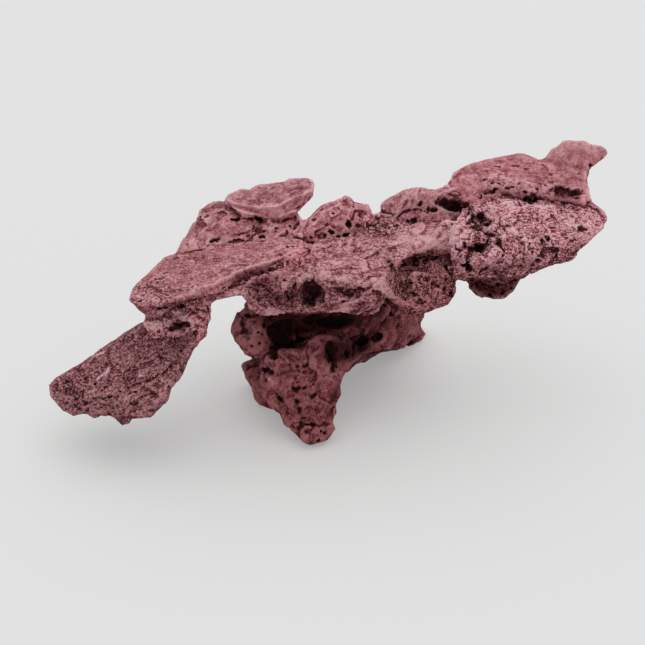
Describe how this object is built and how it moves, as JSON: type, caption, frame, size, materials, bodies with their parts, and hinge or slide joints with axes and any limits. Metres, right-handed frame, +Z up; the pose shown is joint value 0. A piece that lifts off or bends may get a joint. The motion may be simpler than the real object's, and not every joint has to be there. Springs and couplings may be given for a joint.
{
  "type": "aquarium reef rock",
  "caption": "Free-standing purple aquarium reef rock: bonded porous rocks forming a footed base, stepped shelf plates on the left and an overhanging pitted block on the right.",
  "frame": {"origin": "middle of the bounding box, on the plane of the feet", "axes": "+Z up; -Y is the open front seen from the usual side; +X runs from the low slab towards the high overhanging block"},
  "size_m": [0.4628, 0.2484, 0.222],
  "materials": {
    "rock_centre": "matt, porous and bored, mottled purple coralline colouring",
    "rock_left_shelf": "matt, porous and bored, mottled purple coralline colouring",
    "rock_base": "matt, porous and bored, mottled purple coralline colouring",
    "rock_under_shelf": "matt, porous and bored, mottled purple coralline colouring",
    "rock_lower_left": "matt, porous and bored, mottled purple coralline colouring",
    "rock_left_joint": "matt, porous and bored, mottled purple coralline colouring",
    "rock_top_flake": "matt, porous and bored, mottled purple coralline colouring",
    "rock_back_left": "matt, porous and bored, mottled purple coralline colouring",
    "rock_right_block": "matt, porous and bored, mottled purple coralline colouring",
    "rock_back_knob": "matt, porous and bored, mottled purple coralline colouring",
    "rock_back_lobe": "matt, porous and bored, mottled purple coralline colouring",
    "rock_right_plate": "matt, porous and bored, mottled purple coralline colouring"
  },
  "bodies": {
    "root": {"centre_rock": "rock_centre", "left_shelf_plate": "rock_left_shelf", "base_rock": "rock_base", "under_shelf_rock": "rock_under_shelf", "lower_left_slab": "rock_lower_left", "left_joint_rock": "rock_left_joint", "top_left_flake": "rock_top_flake", "back_left_rock": "rock_back_left", "right_front_block": "rock_right_block", "back_knob_rock": "rock_back_knob", "back_lobe_rock": "rock_back_lobe", "right_back_plate": "rock_right_plate"}
  },
  "joints": []
}
